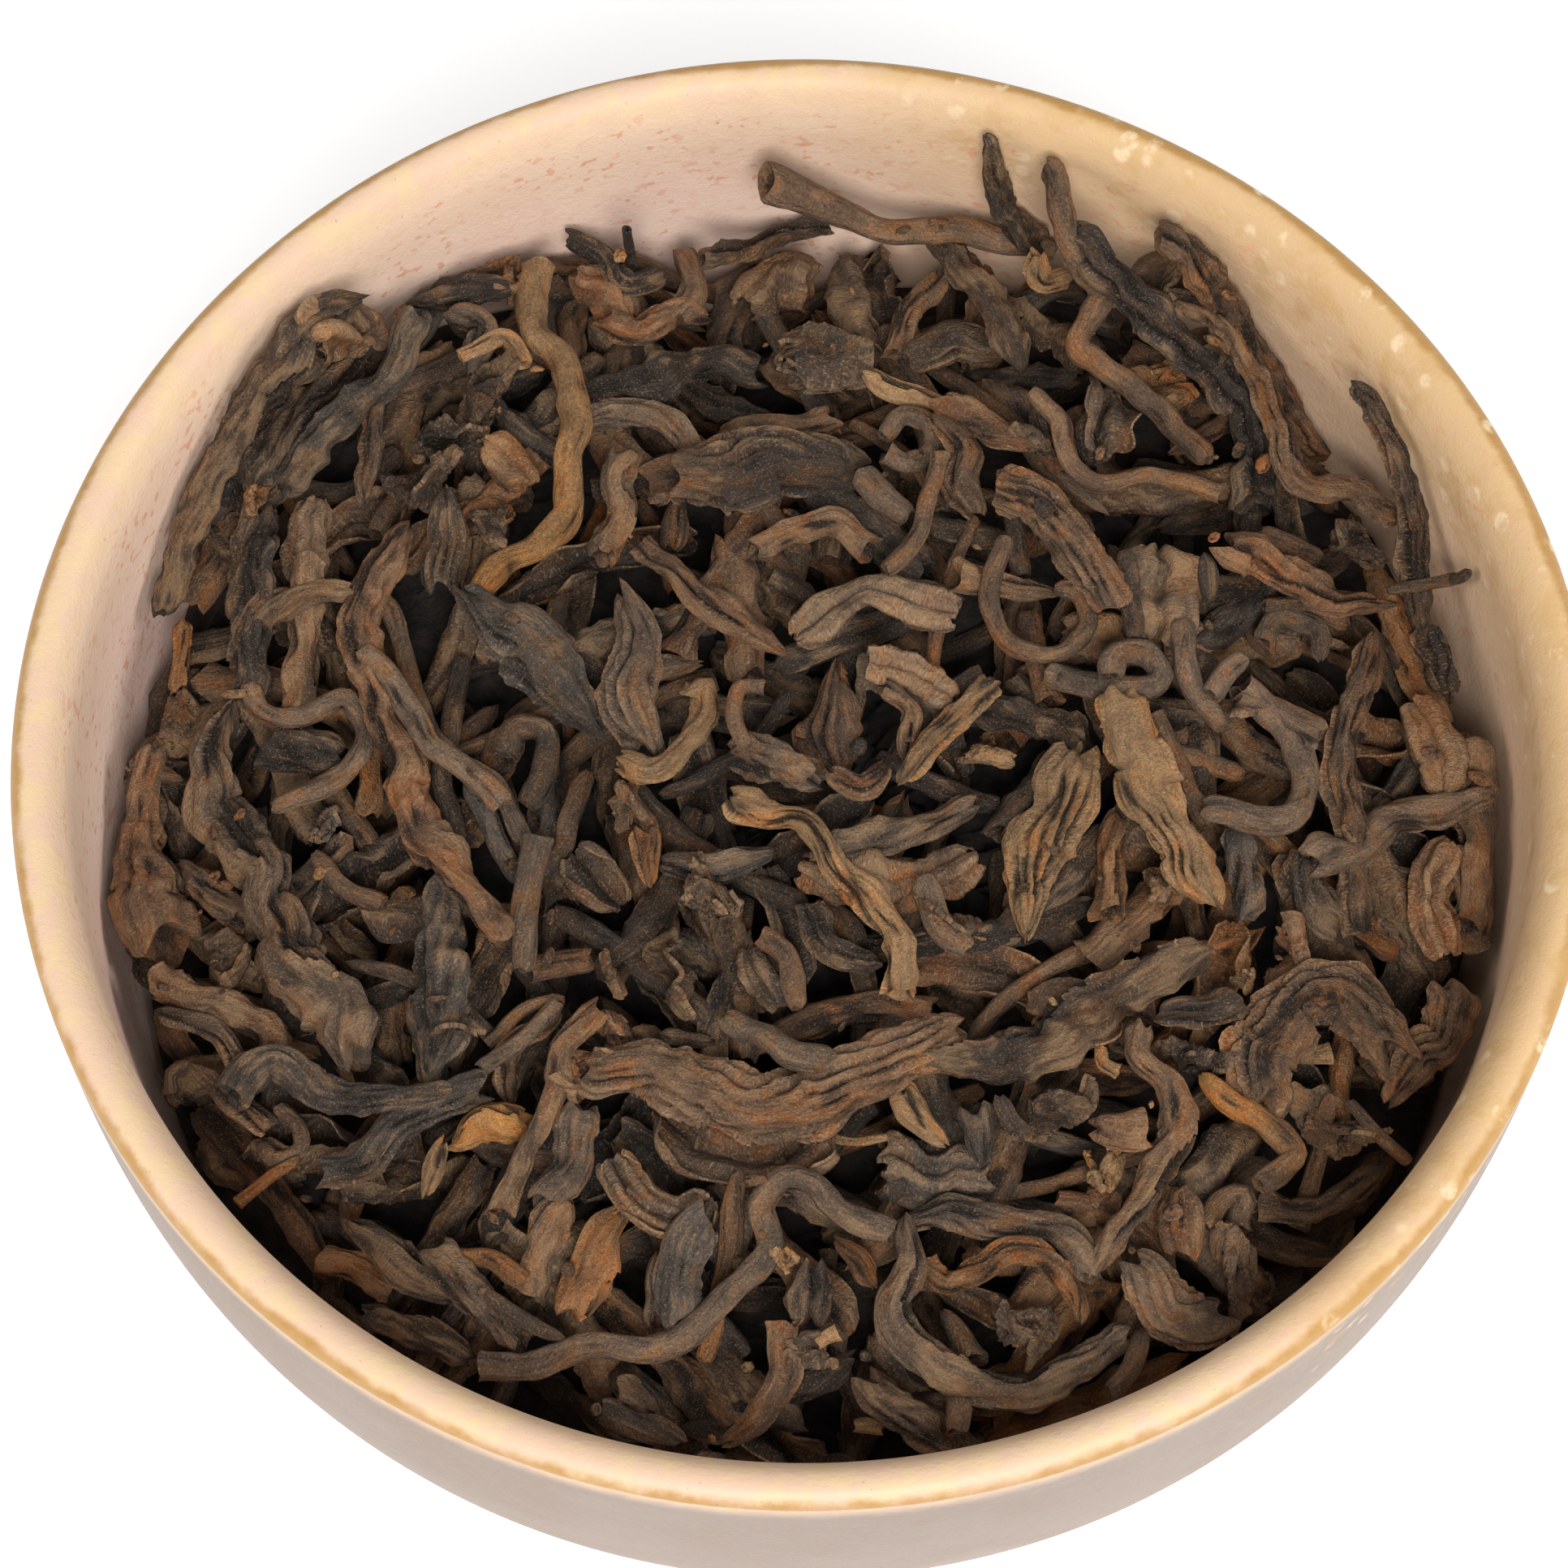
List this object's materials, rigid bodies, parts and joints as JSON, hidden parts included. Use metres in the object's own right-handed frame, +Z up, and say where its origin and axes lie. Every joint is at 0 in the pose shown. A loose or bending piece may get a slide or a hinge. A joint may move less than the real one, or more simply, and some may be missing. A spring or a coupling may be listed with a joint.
{
  "type": "bowl of loose ripe pu erh tea",
  "caption": "Small round stoneware bowl filled with a loose heap of dark, twisted, dried ripe pu erh tea leaves and stems.",
  "frame": {"origin": "middle of the underside of the bowl's foot, on the surface it stands on", "axes": "+Z up along the bowl's axis, +X to the right and +Y away from the viewer of the picture"},
  "size_m": [0.1, 0.1, 0.0479],
  "materials": {
    "stoneware": "satin",
    "dried_tea": "matte"
  },
  "bodies": {
    "root": {"bowl": "stoneware", "tea_leaves": "dried_tea"}
  },
  "joints": []
}
